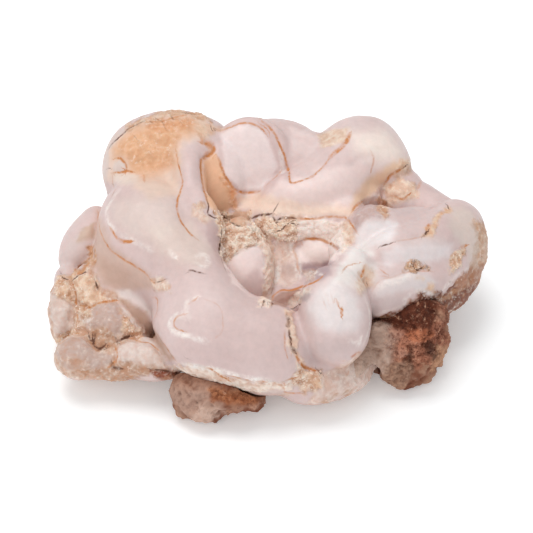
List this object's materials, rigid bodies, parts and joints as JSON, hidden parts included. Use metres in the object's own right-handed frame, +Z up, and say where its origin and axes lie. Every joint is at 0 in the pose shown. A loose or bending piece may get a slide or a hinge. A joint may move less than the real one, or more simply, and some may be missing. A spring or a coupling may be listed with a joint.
{
  "type": "pink chalcedony mineral specimen",
  "caption": "Hand specimen of waxy pink chalcedony: rounded, overlapping lobes around a crystal-lined bowl, grown on a piece of rough reddish-brown host rock.",
  "frame": {"origin": "middle of the stone's outline, on the surface that it rests on", "axes": "+Z up, +X along the longest side, to the right seen from the front; -Y towards the front, the side that the bowl opens to"},
  "size_m": [0.1003, 0.0803, 0.0382],
  "materials": {
    "chalcedony": "waxy, slightly translucent pale pink, with cream crusts and rust-coloured stains",
    "host_rock": "rough, matt, grainy reddish brown"
  },
  "bodies": {
    "root": {"chalcedony": "chalcedony", "host_rock": "host_rock"}
  },
  "joints": []
}
